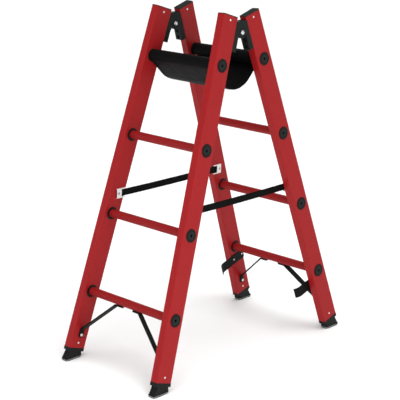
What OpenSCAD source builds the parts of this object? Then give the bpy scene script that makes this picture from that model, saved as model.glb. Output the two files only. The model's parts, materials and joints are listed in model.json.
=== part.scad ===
/* [Ladder] */
// Distance from one rung to the next along the rails
rung_pitch = 280; // [240:1:300]
// Rungs on each side
rung_count = 4; // [4:1:4]
// Lean of each side from the vertical when the ladder stands open
leg_angle = 18; // [15:0.5:19]
// Angle by which each rail runs outward towards the floor
flare = 3; // [2:0.1:4]
// Height of the hinge pins above the middle of the rungs nearest to them
pin_to_first_rung = 124.7; // [115:0.1:135]
// Distance from the hinge pins to the middle line of a side's rails
pin_to_rail = 67; // [60:0.5:75]
// Sideways distance from the ladder's middle to the middle of a rail, at the pins
rail_x = 157.3; // [140:0.1:180]

/* [Rails] */
// Depth of a rail, across its wide faces
rail_depth = 68; // [60:1:80]
// Thickness of a rail, across its narrow faces
rail_thick = 30; // [26:1:32]
// Wall of the hollow rail
rail_wall = 3; // [2.5:0.5:4]
// Rounding of the rail's long edges
rail_round = 2.5; // [1:0.5:3]
// Length of rail above the hinge pins
rail_above_pin = 39.6; // [35:0.1:45]
// Length of rail below the hinge pins
rail_below_pin = 1173; // [1150:1:1200]

/* [Rungs] */
// Outer diameter of a rung
rung_dia = 29; // [26:0.5:32]
// Wall of a rung
rung_wall = 1.8; // [1.5:0.1:3]
// Diameter of the bush flanges and of the plugs over the rung ends
flange_dia = 45; // [42:1:50]
// Thickness of the bush flanges
bush_flange = 2.5; // [2:0.5:4]
// Thickness of the plug heads
plug_head = 2.6; // [2:0.1:4]

/* [Feet] */
// Height of the shoe's collar under the rail end
collar_h = 12; // [8:0.5:14]
// Half depth of the shoe where it leaves the collar
shoe_neck = 25.5; // [24:0.5:28]
// Half depth of the shoe where it meets the sole
shoe_flare = 32.3; // [31:0.1:33]
// Width of the shoe below its collar
shoe_w = 27.6; // [24:0.1:28]
// Thickness of the sole
sole_h = 8; // [6:0.5:10]
// Length of the sole from front to back
sole_len = 68; // [64:1:70]
// Height of the middle of a rail's end above the floor
rail_end_h = 39.7; // [38:0.1:44]

/* [Hinge] */
// Diameter of the hinge pins
pin_dia = 10; // [9:0.5:11]
// Radial running clearance of the pins
pin_fit = 0.05; // [0.02:0.01:0.1]
// Radius of the leaf eyes round the pins
eye_r = 19.5; // [17:0.5:20]
// Depth of a leaf from the rail's edge to its free edge
leaf_depth = 19; // [17:0.5:20]
// Reach of a leaf below the pins
leaf_below = 70; // [65:1:75]
// Height above the pins at which the leaves end
leaf_above = 38; // [36:0.5:39]
// Width of the middle eye
tongue_w = 9.2; // [8:0.2:10]

/* [Closing clips] */
// Height of a closing clip
clip_h = 37; // [30:1:40]
// Thickness of a closing clip
clip_t = 3; // [2:0.5:3]
// Distance of the closing clips below the pins
clip_down = 1014.7; // [1005:0.1:1020]
// Reach of a closing clip beyond the rail's narrow edge
clip_reach = 66; // [60:1:68]

/* [Braces] */
// Width of a brace bar
brace_w = 18; // [14:1:20]
// Thickness of a brace bar
brace_t = 5; // [3:0.5:5]
// Distance from the ladder's middle to the tip of a brace's upper tab
brace_tip_x = 22; // [18:1:26]
// Distance from the ladder's middle to the upper bend of a brace
brace_bend_x = 58; // [50:1:64]
// Distance of the lower bend below the pins
brace_bend_down = 1104; // [1090:1:1110]
// Distance of the brace bolts below the pins
brace_bolt_down = 1124; // [1120:1:1128]

/* [Straps] */
// Distance of the strap clips below the pins
strap_down = 614.1; // [600:0.1:640]
// Distance of the strap rivets from the rail's middle line, towards the other side
strap_in = 4; // [0:0.5:10]
// Width of the webbing
strap_w = 24; // [18:1:25]
// Thickness of the webbing
strap_t = 1.5; // [1:0.1:1.6]
// Height of a strap clip
saddle_h = 34; // [32:1:38]
// Length of a strap clip, along its strap
saddle_w = 38; // [34:1:42]
// Reach of a strap clip beyond its rivet
saddle_out = 8; // [7:0.5:9]
// Length of webbing that a strap clip covers, from its rivet towards the other side
saddle_cover = 12.7; // [10:0.1:16]

/* [Tray] */
// Half the length of the tray, along the rungs
tray_half = 143; // [130:1:144]
// Outer radius of the sleeves round the two highest rungs
sleeve_r = 22; // [20:0.5:24]
// Thickness of the tray's trough
tray_t = 4; // [3:0.5:5]
// Depth of the trough's lowest point below the middle of its rungs
tray_drop = 96.7; // [90:0.1:105]

/* [Fasteners] */
// Shank diameter of the rivets in the caps and shoes
rivet_dia = 4; // [3:0.5:5]
// Head diameter of the rivets in the caps and shoes
rivet_head = 7; // [6:0.5:8]
// Distance of the cap rivets below the rail's top end
cap_rivet_down = 13.6; // [12:0.1:15]
// Distance of the shoe rivets above the rail's bottom end
shoe_rivet_up = 18.6; // [16:0.1:22]
// Diameter of the bolts in the hinge leaves and braces
bolt_dia = 6; // [5:0.5:6]

/* [Hidden] */
$fn = 48;
eps = 0.1;
gap = 0.1;
far = 400;
pin_z = rail_end_h + rail_below_pin * cos(flare) * cos(leg_angle) - pin_to_rail * sin(leg_angle);
half_t = rail_thick / 2;
half_d = rail_depth / 2;
inner_t = rail_thick - 2 * rail_wall;
inner_d = rail_depth - 2 * rail_wall;
edge_y = pin_to_rail - half_d;
leaf_y = edge_y - leaf_depth;
rung_r = rung_dia / 2;
bush_r = rung_r + 2;
saddle_t = 1.4;
saddle_gap = 4;
saddle_lip = 1.8;
saddle_slot = strap_w + 2.4;
strap_off = 2.15;
rivet_saddle = 4.8;
tray_flank = 45;
joggle = 1.2;
bolt_hole = bolt_dia + 0.2;
pin_head_r = 7.4;
pin_top_r = 4.6;
nut_af = 10;
nut_h = 4.6;
screw_dia = 4;
brace_screw_x = brace_tip_x + brace_w / 2;
plug_stem = rung_r - rung_wall - gap;
peg_r = 3;
peg_h = 7;
hinge_bolts = [36, 58];
clip_rivets_y = [25, -21];
curl_r = 27;
curl_angle = 54;
curl_step = 4.5;

function rung_down(i) = pin_to_first_rung + (i - 1) * rung_pitch;
function face_x(down) = rail_x - half_t / cos(flare) + down * tan(flare);
function outer_x(down) = rail_x + half_t / cos(flare) + down * tan(flare);

// Frames -----------------------------------------------------------------

// Side frame: origin on the pins' axis, Y away from the other side, Z up along the rungs' plane
module side(front) {
    translate([0, 0, pin_z]) mirror([0, front ? 1 : 0, 0]) rotate([leg_angle, 0, 0]) children();
}

// Puts a right-hand shape on the right, or mirrors it to the left
module hand(left) {
    mirror([left ? 1 : 0, 0, 0]) children();
}

// Rail frame: origin in the rail's middle beside the pin, X towards the outside, Z up the rail
module rail_frame(front, left) {
    side(front) hand(left) translate([rail_x, pin_to_rail, 0]) rotate([0, -flare, 0]) children();
}

// Draws its children on both rails of a side
module both(front) {
    for (left = [false, true]) rail_frame(front, left) children();
}

// Rails ------------------------------------------------------------------

module rounded(w, d, r) {
    square([w - 2 * r, d], center = true);
    square([w, d - 2 * r], center = true);
    for (x = [-1, 1], y = [-1, 1])
        translate([x * (w / 2 - r), y * (d / 2 - r)]) circle(r);
}

// A hole through a rail along its thickness
module cross_hole(down, y, r) {
    translate([0, y, -down]) rotate([0, 90, 0]) cylinder(r = r, h = rail_thick + 2, center = true);
}

module rail(front, left) {
    color([0.72, 0.17, 0.18]) difference() {
        rail_frame(front, left) difference() {
            translate([0, 0, -rail_below_pin])
                linear_extrude(rail_below_pin + rail_above_pin) rounded(rail_thick, rail_depth, rail_round);
            translate([-inner_t / 2, -inner_d / 2, -rail_below_pin - 1])
                cube([inner_t, inner_d, rail_below_pin + rail_above_pin + 2]);
            cross_hole(-rail_above_pin + cap_rivet_down, 0, rivet_dia / 2 + gap / 2);
            cross_hole(rail_below_pin - shoe_rivet_up, 0, rivet_dia / 2 + gap / 2);
            translate([-half_t - 1, 0, -brace_bolt_down])
                rotate([0, 90, 0]) cylinder(r = bolt_hole / 2, h = rail_wall + 2);
            translate([-half_t - 1, -strap_in, -strap_down])
                rotate([0, 90, 0]) cylinder(r = rivet_saddle / 2 + gap / 2, h = rail_wall + 2);
            for (down = hinge_bolts)
                translate([0, -half_d - 1, -down])
                    rotate([-90, 0, 0]) cylinder(r = bolt_hole / 2, h = rail_wall + 2);
            if (!front) for (y = clip_rivets_y)
                translate([-half_t - 1, y, -clip_down])
                    rotate([0, 90, 0]) cylinder(r = rivet_dia / 2 + gap / 2, h = rail_wall + 2);
        }
        side(front) hand(left) for (i = [1 : rung_count])
            translate([0, pin_to_rail, -rung_down(i)]) rotate([0, 90, 0]) {
                cylinder(r = bush_r + gap / 2, h = rail_x + rung_down(i) * tan(flare));
                cylinder(r = rung_r + gap, h = far);
            }
    }
}

// Rungs ------------------------------------------------------------------

module rung(front, i) {
    half = outer_x(rung_down(i)) - 1.2;
    color([0.70, 0.16, 0.17]) side(front) translate([0, pin_to_rail, -rung_down(i)]) difference() {
        rotate([0, 90, 0]) cylinder(r = rung_r, h = 2 * half, center = true);
        rotate([0, 90, 0]) cylinder(r = rung_r - rung_wall, h = 2 * half + 2, center = true);
        if (i == rung_count) for (left = [false, true]) hand(left)
            translate([brace_screw_x, 0, -rung_r - 1]) cylinder(r = screw_dia / 2 + gap / 2, h = rung_r);
    }
}

// Flanged sleeves that hold the rungs in the rails' inner walls
module rung_bushes(front) {
    color([0.14, 0.15, 0.15]) for (i = [1 : rung_count], left = [false, true]) difference() {
        union() {
            rail_frame(front, left) translate([-half_t - bush_flange, 0, -rung_down(i) / cos(flare)])
                rotate([0, 90, 0]) cylinder(r = flange_dia / 2, h = bush_flange);
            side(front) hand(left) translate([face_x(rung_down(i)) - 0.8, pin_to_rail, -rung_down(i)])
                rotate([0, 90, 0]) cylinder(r = bush_r - gap / 2, h = rail_wall + 4);
        }
        side(front) hand(left) translate([0, pin_to_rail, -rung_down(i)])
            rotate([0, 90, 0]) cylinder(r = rung_r + gap / 2, h = far);
    }
}

// Plugs that close the rungs on the rails' outer faces
module rung_plugs(front) {
    color([0.20, 0.24, 0.22]) for (i = [1 : rung_count], left = [false, true]) difference() {
        union() {
            rail_frame(front, left) translate([half_t, 0, -rung_down(i) / cos(flare)])
                rotate([0, 90, 0]) cylinder(r = flange_dia / 2, h = plug_head);
            side(front) hand(left) translate([outer_x(rung_down(i)) - 16, pin_to_rail, -rung_down(i)])
                rotate([0, 90, 0]) cylinder(r = plug_stem - 1, h = 17);
        }
        rail_frame(front, left) translate([half_t - 7, 0, -rung_down(i) / cos(flare)])
            rotate([0, 90, 0]) cylinder(r = 3.2, h = 20);
    }
}

// Ends of the rails ------------------------------------------------------

module end_caps(front) {
    color([0.22, 0.26, 0.24]) both(front) difference() {
        union() {
            translate([0, 0, rail_above_pin]) linear_extrude(3) rounded(rail_thick, rail_depth, rail_round);
            translate([-inner_t / 2 + gap, -inner_d / 2 + gap, rail_above_pin - 20])
                cube([inner_t - 2 * gap, inner_d - 2 * gap, 20.5]);
        }
        cross_hole(-rail_above_pin + cap_rivet_down, 0, rivet_dia / 2 + gap / 2);
    }
}

// Everything above the sole's top face
module above_sole() {
    translate([-far, -2 * far, sole_h]) cube([2 * far, 4 * far, far]);
}

module shoe(front, left) {
    below = -rail_below_pin - collar_h;
    color([0.15, 0.16, 0.16]) difference() {
        intersection() {
            rail_frame(front, left) difference() {
                union() {
                    translate([-inner_t / 2 + gap, -inner_d / 2 + gap, -rail_below_pin - 0.5])
                        cube([inner_t - 2 * gap, inner_d - 2 * gap, 40]);
                    translate([0, 0, below])
                        linear_extrude(collar_h) rounded(rail_thick + 1, rail_depth + 1, 3);
                    translate([-shoe_w / 2, 0, 0]) rotate([90, 0, 90]) linear_extrude(shoe_w) polygon([
                        [-shoe_neck, below + 1], [-shoe_neck, below - 4], [-shoe_flare, below - 18],
                        [-shoe_flare, below - 60], [shoe_flare, below - 60], [shoe_flare, below - 34],
                        [shoe_neck, below - 8], [shoe_neck, below + 1]
                    ]);
                }
                cross_hole(rail_below_pin - shoe_rivet_up, 0, rivet_dia / 2 + gap / 2);
            }
            above_sole();
        }
        sole_pegs(front, left, gap, 1);
    }
}

// The middle of a sole, on the floor below the rail's line
module sole_frame(front, left) {
    y = pin_to_rail * cos(leg_angle) + (pin_z + pin_to_rail * sin(leg_angle)) * tan(leg_angle);
    x = rail_x + (rail_below_pin + collar_h + 24) * tan(flare);
    mirror([0, front ? 1 : 0, 0]) hand(left) translate([x, y, 0]) children();
}

module sole_pegs(front, left, extra_r, extra_h) {
    sole_frame(front, left) for (y = [-17, 17])
        translate([0, y, sole_h / 2]) cylinder(r = peg_r + extra_r, h = sole_h / 2 + peg_h + extra_h);
}

module sole(front, left) {
    color([0.32, 0.34, 0.33]) union() {
        sole_frame(front, left) {
            linear_extrude(2.6) rounded(rail_thick, sole_len, 4);
            translate([0, 0, 2.5]) linear_extrude(1.4) rounded(rail_thick - 1.6, sole_len - 1.6, 4);
            translate([0, 0, 3.8]) linear_extrude(sole_h - 3.8) rounded(rail_thick, sole_len, 4);
        }
        sole_pegs(front, left, 0, 0);
    }
}

// A pull rivet right through a rail
module rail_rivet() {
    rotate([0, 90, 0]) {
        cylinder(r = rivet_dia / 2, h = rail_thick + 1, center = true);
        for (z = [half_t, -half_t - 1.1]) translate([0, 0, z]) cylinder(r = rivet_head / 2, h = 1.1);
    }
}

module end_rivets(front) {
    color([0.78, 0.72, 0.71]) both(front) {
        translate([0, 0, rail_above_pin - cap_rivet_down]) rail_rivet();
        translate([0, 0, -rail_below_pin + shoe_rivet_up]) rail_rivet();
    }
}

// Hinge ------------------------------------------------------------------

// Outline of a leaf near the pin: X away from the other side, Y up, without its eye
module leaf_outline() {
    corner = edge_y * cos(leg_angle) - tan(leg_angle) * (leaf_above - edge_y * sin(leg_angle));
    intersection() {
        translate([0.4, -far]) square([far, far + leaf_above]);
        rotate(leg_angle) polygon([
            [leaf_y, -26], [leaf_y, 0], [0, 0], [-20, far / 4], [edge_y, far / 4], [edge_y, -26]
        ]);
        polygon([[-20, -50], [-20, leaf_above - 3], [3.4, leaf_above], [corner + 40, leaf_above], [60, -50]]);
    }
}

module eye(w) {
    rotate([0, 90, 0]) cylinder(r = eye_r, h = w, center = true);
}

// Clearance round the other leaf's eye
module eye_room(w) {
    rotate([0, 90, 0]) cylinder(r = eye_r + 0.8, h = w, center = true);
}

module hinge_leaf(front, left) {
    cheek = (rail_thick - tongue_w - 0.8) / 2;
    color([0.17, 0.20, 0.19]) difference() {
        union() {
            difference() {
                union() {
                    translate([0, 0, pin_z]) mirror([0, front ? 1 : 0, 0]) hand(left)
                        translate([rail_x, 0, 0]) rotate([90, 0, 90])
                            linear_extrude(rail_thick - 0.6, center = true) leaf_outline();
                    rail_frame(front, left) translate([-half_t + 0.5, -half_d - leaf_depth, -leaf_below])
                        cube([rail_thick - 1, leaf_depth, leaf_below - 20]);
                }
                side(front) hand(left) translate([rail_x, 0, 0])
                    if (front) eye_room(tongue_w + 0.8);
                    else for (x = [-1, 1])
                        translate([x * (rail_thick - cheek + 2) / 2, 0, 0]) eye_room(cheek + 2.8);
            }
            side(front) hand(left) translate([rail_x, 0, 0])
                if (front) for (x = [-1, 1]) translate([x * (rail_thick - cheek) / 2, 0, 0]) eye(cheek);
                else eye(tongue_w);
        }
        side(front) hand(left) translate([rail_x, 0, 0])
            rotate([0, 90, 0]) cylinder(r = pin_dia / 2 + pin_fit, h = rail_thick + 4, center = true);
        rail_frame(front, left) for (down = hinge_bolts) translate([0, -half_d - leaf_depth - 1, -down])
            rotate([-90, 0, 0]) {
                cylinder(r = bolt_hole / 2, h = leaf_depth + 3);
                cylinder(r = 5.6, h = 9);
            }
    }
}

module hinge_pin(left) {
    color([0.80, 0.80, 0.80]) translate([0, 0, pin_z]) hand(left)
        translate([rail_x, 0, 0]) rotate([0, 90, 0]) {
            translate([0, 0, -half_t - 3.4]) cylinder(r = pin_dia / 2, h = rail_thick + 3.6);
            translate([0, 0, half_t + 0.1]) cylinder(r = pin_head_r, h = 2.4);
            translate([0, 0, half_t + 2.4]) cylinder(r1 = pin_head_r, r2 = pin_top_r, h = 2);
        }
}

// Domed caps pressed on the pins' inner ends
module pin_retainers() {
    color([0.80, 0.80, 0.80]) for (left = [false, true])
        translate([0, 0, pin_z]) hand(left)
            translate([rail_x - half_t, 0, 0]) rotate([0, -90, 0]) difference() {
                union() {
                    translate([0, 0, 0.1]) cylinder(r = pin_head_r, h = 2.4);
                    translate([0, 0, 2.4]) cylinder(r1 = pin_head_r, r2 = pin_top_r, h = 2.2);
                }
                translate([0, 0, -1]) cylinder(r = pin_dia / 2 + pin_fit, h = 4.5);
            }
}

module hinge_bolt_set(front) {
    color([0.13, 0.14, 0.14]) both(front) for (down = hinge_bolts)
        translate([0, -half_d - leaf_depth + 8, -down]) rotate([-90, 0, 0]) {
            translate([0, 0, -5]) difference() {
                cylinder(r = 5, h = 5);
                translate([0, 0, -0.1]) cylinder(r = 2.9, h = 3, $fn = 6);
            }
            cylinder(r = bolt_dia / 2, h = leaf_depth - 8 + rail_wall + nut_h + 1);
        }
}

module hinge_nut_set(front) {
    color([0.62, 0.62, 0.62]) both(front) for (down = hinge_bolts)
        translate([0, -inner_d / 2 + gap / 2, -down]) rotate([-90, 0, 0]) hex_nut();
}

module hex_nut() {
    difference() {
        cylinder(r = nut_af / sqrt(3), h = nut_h, $fn = 6);
        translate([0, 0, -1]) cylinder(r = bolt_hole / 2, h = nut_h + 2);
    }
}

// Braces -----------------------------------------------------------------

// Cuts the corners off a bar's end: origin on the bar's middle line, X towards the end
module end_round() {
    r = brace_w / 2 + 1;
    start = sqrt(r * r - brace_w * brace_w / 4);
    difference() {
        translate([-1, -brace_w, -brace_w]) cube([2 * brace_w, 2 * brace_w, 2 * brace_w]);
        translate([-start, 0, 0]) cylinder(r = r, h = 3 * brace_w, center = true);
    }
}

// Where two lines, each given by a point and an angle, meet
function meet(p, a, q, b) =
    p + [cos(a), sin(a)] * ((q[0] - p[0]) * sin(b) - (q[1] - p[1]) * cos(b)) / sin(b - a);

// A point moved sideways from a line that runs at an angle
function beside(p, a, d) = p + d * [-sin(a), cos(a)];

// A flat bar bent twice: under the lowest rung, across the corner, and along the rail
module brace(front, left) {
    top = -rung_down(rung_count) - rung_r - brace_t / 2 - gap;
    tip = [brace_tip_x, top];
    bend = [brace_bend_x, top];
    low = [face_x(brace_bend_down) - brace_t / 2 - gap, -brace_bend_down];
    run = low - bend;
    slope = atan2(run[1], run[0]);
    lean = flare - 90;
    end = low + [cos(lean), sin(lean)] * (brace_bolt_down - brace_bend_down + brace_w / 2 + 4);
    h = brace_t / 2;
    color([0.13, 0.14, 0.14]) side(front) hand(left) difference() {
        translate([0, pin_to_rail + brace_w / 2, 0]) rotate([90, 0, 0]) linear_extrude(brace_w) polygon([
            beside(tip, 0, h), meet(beside(tip, 0, h), 0, beside(low, slope, h), slope),
            meet(beside(low, slope, h), slope, beside(end, lean, h), lean), beside(end, lean, h),
            beside(end, lean, -h), meet(beside(low, slope, -h), slope, beside(end, lean, -h), lean),
            meet(beside(tip, 0, -h), 0, beside(low, slope, -h), slope), beside(tip, 0, -h)
        ]);
        translate([brace_screw_x, pin_to_rail, top]) rotate([0, 0, 180]) end_round();
        translate([end[0], pin_to_rail, end[1]]) rotate([0, -lean, 0])
            translate([-brace_w / 2, 0, 0]) end_round();
        translate([brace_screw_x, pin_to_rail, top])
            cylinder(r = screw_dia / 2 + gap, h = 3 * brace_t, center = true);
        translate([rail_x, pin_to_rail, 0]) rotate([0, -flare, 0]) translate([-half_t, 0, -brace_bolt_down])
            rotate([0, 90, 0]) cylinder(r = bolt_hole / 2, h = 12, center = true);
    }
}

// Button-head bolts through the braces' lower tabs
module brace_bolt_set(front) {
    out = brace_t + 2 * gap;
    color([0.85, 0.84, 0.82]) both(front) translate([-half_t - out, 0, -brace_bolt_down]) rotate([0, 90, 0]) {
        cylinder(r = bolt_dia / 2, h = out + rail_wall + nut_h + 1.5);
        translate([0, 0, -1.5]) cylinder(r = 5.6, h = 1.5);
        translate([0, 0, -3.3]) cylinder(r1 = 3.4, r2 = 5.6, h = 1.8);
    }
}

module brace_nut_set(front) {
    color([0.62, 0.62, 0.62]) both(front)
        translate([-inner_t / 2 + gap / 2, 0, -brace_bolt_down]) rotate([0, 90, 0]) hex_nut();
}

// Screws that hold the braces' upper tabs to the lowest rung
module brace_screw_set(front) {
    under = -rung_down(rung_count) - rung_r - brace_t - gap - 0.1;
    color([0.62, 0.62, 0.62]) side(front) for (left = [false, true]) hand(left)
        translate([brace_screw_x, pin_to_rail, under]) {
            cylinder(r = screw_dia / 2, h = brace_t + rung_wall + 3);
            translate([0, 0, -2]) cylinder(r = 3.6, h = 2);
        }
}

// Straps -----------------------------------------------------------------

// Saddles that hold the strap ends: level like the straps, and forked where the webbing leaves them
module strap_clip_set(front) {
    inner = saddle_out - saddle_w;
    color([0.82, 0.81, 0.80]) both(front) translate([-half_t, -strap_in, -strap_down])
        rotate([-leg_angle, 0, 0]) difference() {
            union() {
                translate([-saddle_gap - saddle_t, inner, -saddle_h / 2])
                    cube([saddle_t, saddle_w, saddle_h]);
                for (z = [-saddle_h / 2, saddle_h / 2 - saddle_lip])
                    translate([-saddle_gap - eps, inner, z]) cube([saddle_gap + eps, saddle_w, saddle_lip]);
            }
            translate([-saddle_gap - saddle_t - 1, inner - 1, -saddle_slot / 2])
                cube([saddle_t + 2, -inner - saddle_cover + 1, saddle_slot]);
            rotate([0, 90, 0]) cylinder(r = rivet_saddle / 2 + gap / 2, h = 20, center = true);
        }
}

module strap_rivet_set(front) {
    out = saddle_gap + saddle_t + gap / 2;
    color([0.80, 0.79, 0.78]) both(front) translate([-half_t, -strap_in, -strap_down]) rotate([0, 90, 0]) {
        translate([0, 0, -out]) cylinder(r = rivet_saddle / 2, h = out + rail_wall + 0.4);
        translate([0, 0, -out - 1.2]) cylinder(r = 4.4, h = 1.2);
        translate([0, 0, rail_wall + gap / 2]) cylinder(r = 3.6, h = 2);
    }
}

module strap(left) {
    y = (pin_to_rail - strap_in) * cos(leg_angle) + strap_down * sin(leg_angle);
    z = pin_z + (pin_to_rail - strap_in) * sin(leg_angle) - strap_down * cos(leg_angle);
    x = face_x(strap_down) - strap_off;
    color([0.04, 0.06, 0.05]) hand(left) translate([x, 0, z]) difference() {
        cube([strap_t, 2 * (y + saddle_out - 1), strap_w], center = true);
        for (end = [-y, y]) translate([0, end, 0])
            rotate([0, 90, 0]) cylinder(r = rivet_saddle / 2 + 0.6, h = 10, center = true);
    }
}

// Closing clips ----------------------------------------------------------

// Plan of a closing clip: a flat strip with a joggle, and a tip curled inward
module clip_plan() {
    curl = [for (a = [0 : curl_step : curl_angle]) a];
    centre = [-clip_t - joggle - curl_r, -half_d - clip_reach + curl_r * sin(curl_angle)];
    polygon(concat(
        [[0, half_d], [0, -half_d - 3], [-joggle, -half_d - 7]],
        [for (a = curl) centre + (curl_r + clip_t) * [cos(a), -sin(a)]],
        [for (i = [len(curl) - 1 : -1 : 0]) centre + curl_r * [cos(curl[i]), -sin(curl[i])]],
        [[-clip_t - joggle, -half_d - 7], [-clip_t, -half_d - 3], [-clip_t, half_d]]
    ));
}

module closing_clip(left) {
    color([0.13, 0.14, 0.14]) rail_frame(false, left) translate([-half_t, 0, -clip_down]) difference() {
        linear_extrude(clip_h, center = true) clip_plan();
        for (y = clip_rivets_y) translate([0, y, 0])
            rotate([0, 90, 0]) cylinder(r = rivet_dia / 2 + gap / 2, h = 20, center = true);
    }
}

module clip_rivet_set() {
    out = clip_t + gap / 2;
    color([0.78, 0.76, 0.74]) both(false) for (y = clip_rivets_y)
        translate([-half_t, y, -clip_down]) rotate([0, 90, 0]) {
            translate([0, 0, -out]) cylinder(r = rivet_dia / 2, h = out + rail_wall + 0.4);
            translate([0, 0, -out - 1.1]) cylinder(r = rivet_head / 2, h = 1.1);
            translate([0, 0, rail_wall + gap / 2]) cylinder(r = 3, h = 1.6);
        }
}

// Tray -------------------------------------------------------------------

// Half of the tray's section: Y across the ladder, Z up, from the pins' height
module tray_half_plan() {
    rung_y = pin_to_rail * cos(leg_angle) + rung_down(1) * sin(leg_angle);
    rung_z = pin_to_rail * sin(leg_angle) - rung_down(1) * cos(leg_angle);
    tangent = [rung_y + sleeve_r * sin(tray_flank), rung_z - sleeve_r * cos(tray_flank)];
    bottom = rung_z - tray_drop;
    // The bottom arc meets the flank where both lean by tray_flank
    fall = tangent[1] - bottom;
    r = (tangent[0] - fall) / (sin(tray_flank) - (1 - cos(tray_flank)));
    join = [r * sin(tray_flank), bottom + r * (1 - cos(tray_flank))];
    inward = [-sin(tray_flank) * tray_t, cos(tray_flank) * tray_t];
    difference() {
        union() {
            translate([rung_y, rung_z]) circle(sleeve_r);
            polygon([join, tangent, tangent + inward, join + inward]);
            intersection() {
                translate([0, bottom + r]) difference() {
                    circle(r, $fn = 120);
                    circle(r - tray_t, $fn = 120);
                }
                translate([0, bottom + r]) polygon([
                    [0, 0], [far * sin(tray_flank), -far * cos(tray_flank)], [0, -far]
                ]);
            }
        }
        translate([rung_y, rung_z]) circle(rung_r + 0.8);
    }
}

module tool_tray() {
    color([0.05, 0.05, 0.05]) translate([0, 0, pin_z]) rotate([90, 0, 90])
        linear_extrude(2 * tray_half, center = true) {
            tray_half_plan();
            mirror([1, 0]) tray_half_plan();
        }
}

// Assembly ---------------------------------------------------------------

rail(true, true);  // front_rail_left
rail(true, false);  // front_rail_right
rail(false, true);  // rear_rail_left
rail(false, false);  // rear_rail_right
rung(true, 1);  // front_rung_1
rung(true, 2);  // front_rung_2
rung(true, 3);  // front_rung_3
rung(true, 4);  // front_rung_4
rung(false, 1);  // rear_rung_1
rung(false, 2);  // rear_rung_2
rung(false, 3);  // rear_rung_3
rung(false, 4);  // rear_rung_4
rung_bushes(true);  // front_rung_bushes
rung_bushes(false);  // rear_rung_bushes
rung_plugs(true);  // front_rung_plugs
rung_plugs(false);  // rear_rung_plugs
end_caps(true);  // front_end_caps
end_caps(false);  // rear_end_caps
shoe(true, true);  // front_shoe_left
shoe(true, false);  // front_shoe_right
shoe(false, true);  // rear_shoe_left
shoe(false, false);  // rear_shoe_right
sole(true, true);  // front_sole_left
sole(true, false);  // front_sole_right
sole(false, true);  // rear_sole_left
sole(false, false);  // rear_sole_right
end_rivets(true);  // front_end_rivets
end_rivets(false);  // rear_end_rivets
hinge_leaf(true, true);  // front_hinge_leaf_left
hinge_leaf(true, false);  // front_hinge_leaf_right
hinge_leaf(false, true);  // rear_hinge_leaf_left
hinge_leaf(false, false);  // rear_hinge_leaf_right
hinge_pin(true);  // hinge_pin_left
hinge_pin(false);  // hinge_pin_right
pin_retainers();  // hinge_pin_retainers
hinge_bolt_set(true);  // front_hinge_bolts
hinge_bolt_set(false);  // rear_hinge_bolts
hinge_nut_set(true);  // front_hinge_nuts
hinge_nut_set(false);  // rear_hinge_nuts
brace(true, true);  // front_brace_left
brace(true, false);  // front_brace_right
brace(false, true);  // rear_brace_left
brace(false, false);  // rear_brace_right
brace_bolt_set(true);  // front_brace_bolts
brace_bolt_set(false);  // rear_brace_bolts
brace_nut_set(true);  // front_brace_nuts
brace_nut_set(false);  // rear_brace_nuts
brace_screw_set(true);  // front_brace_screws
brace_screw_set(false);  // rear_brace_screws
strap_clip_set(true);  // front_strap_clips
strap_clip_set(false);  // rear_strap_clips
strap_rivet_set(true);  // front_strap_rivets
strap_rivet_set(false);  // rear_strap_rivets
strap(true);  // strap_left
strap(false);  // strap_right
closing_clip(true);  // closing_clip_left
closing_clip(false);  // closing_clip_right
clip_rivet_set();  // closing_clip_rivets
tool_tray();
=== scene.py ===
"""Looks of a double-sided rung step ladder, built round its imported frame.

Metres, in the frame's axes: +X along the rungs, the front side towards -Y, the rear side towards +Y,
and +Z up.
"""

import json
import math
from functools import partial

import bmesh
import bpy
from mathutils import Matrix, Vector, noise


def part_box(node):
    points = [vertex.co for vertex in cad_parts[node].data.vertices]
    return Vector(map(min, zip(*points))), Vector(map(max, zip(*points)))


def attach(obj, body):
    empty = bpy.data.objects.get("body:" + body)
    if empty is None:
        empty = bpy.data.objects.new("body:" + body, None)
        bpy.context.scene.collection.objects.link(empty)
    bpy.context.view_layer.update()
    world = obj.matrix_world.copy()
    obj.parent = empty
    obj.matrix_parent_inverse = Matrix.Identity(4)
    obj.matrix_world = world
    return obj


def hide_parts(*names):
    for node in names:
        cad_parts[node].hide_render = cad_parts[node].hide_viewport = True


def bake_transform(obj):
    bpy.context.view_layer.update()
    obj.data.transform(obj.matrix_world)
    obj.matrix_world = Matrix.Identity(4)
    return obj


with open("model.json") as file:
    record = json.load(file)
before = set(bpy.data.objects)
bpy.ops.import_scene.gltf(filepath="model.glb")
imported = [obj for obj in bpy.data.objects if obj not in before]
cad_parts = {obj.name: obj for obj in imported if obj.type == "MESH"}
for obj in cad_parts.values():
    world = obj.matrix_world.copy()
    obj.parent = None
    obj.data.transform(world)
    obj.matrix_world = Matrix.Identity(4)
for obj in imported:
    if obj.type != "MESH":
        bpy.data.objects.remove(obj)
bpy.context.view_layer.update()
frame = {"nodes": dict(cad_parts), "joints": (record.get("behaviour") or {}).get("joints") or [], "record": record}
RECORD = frame["record"]
NODES = frame["nodes"]
SLOT_OF = {part["node"]: part["material_slot"] for part in RECORD["subparts"]}
BODY_OF = {node: body for body, nodes in RECORD["behaviour"]["bodies"].items() for node in nodes}

# ---------------------------------------------------------------------------
# Driving dimensions, as the frame has them
# ---------------------------------------------------------------------------

# The two sides lean apart, and their rails flare outward. A name with DOWN is a distance below the
# pins, along the rungs' plane or a rail.
LEAN = math.radians(18)
FLARE = math.radians(3)
PIN_Z = frame["joints"][0]["pos_m"][2]
PIN_TO_RAIL = 0.067
PIN_TO_FIRST_RUNG = 0.1247
RUNG_PITCH = 0.280
RUNG_COUNT = 4

# Rails
RAIL_X = 0.1573
RAIL_THICK = 0.030
RAIL_WALL = 0.003
RAIL_ABOVE_PIN = 0.0396
RAIL_BELOW_PIN = 1.173

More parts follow.
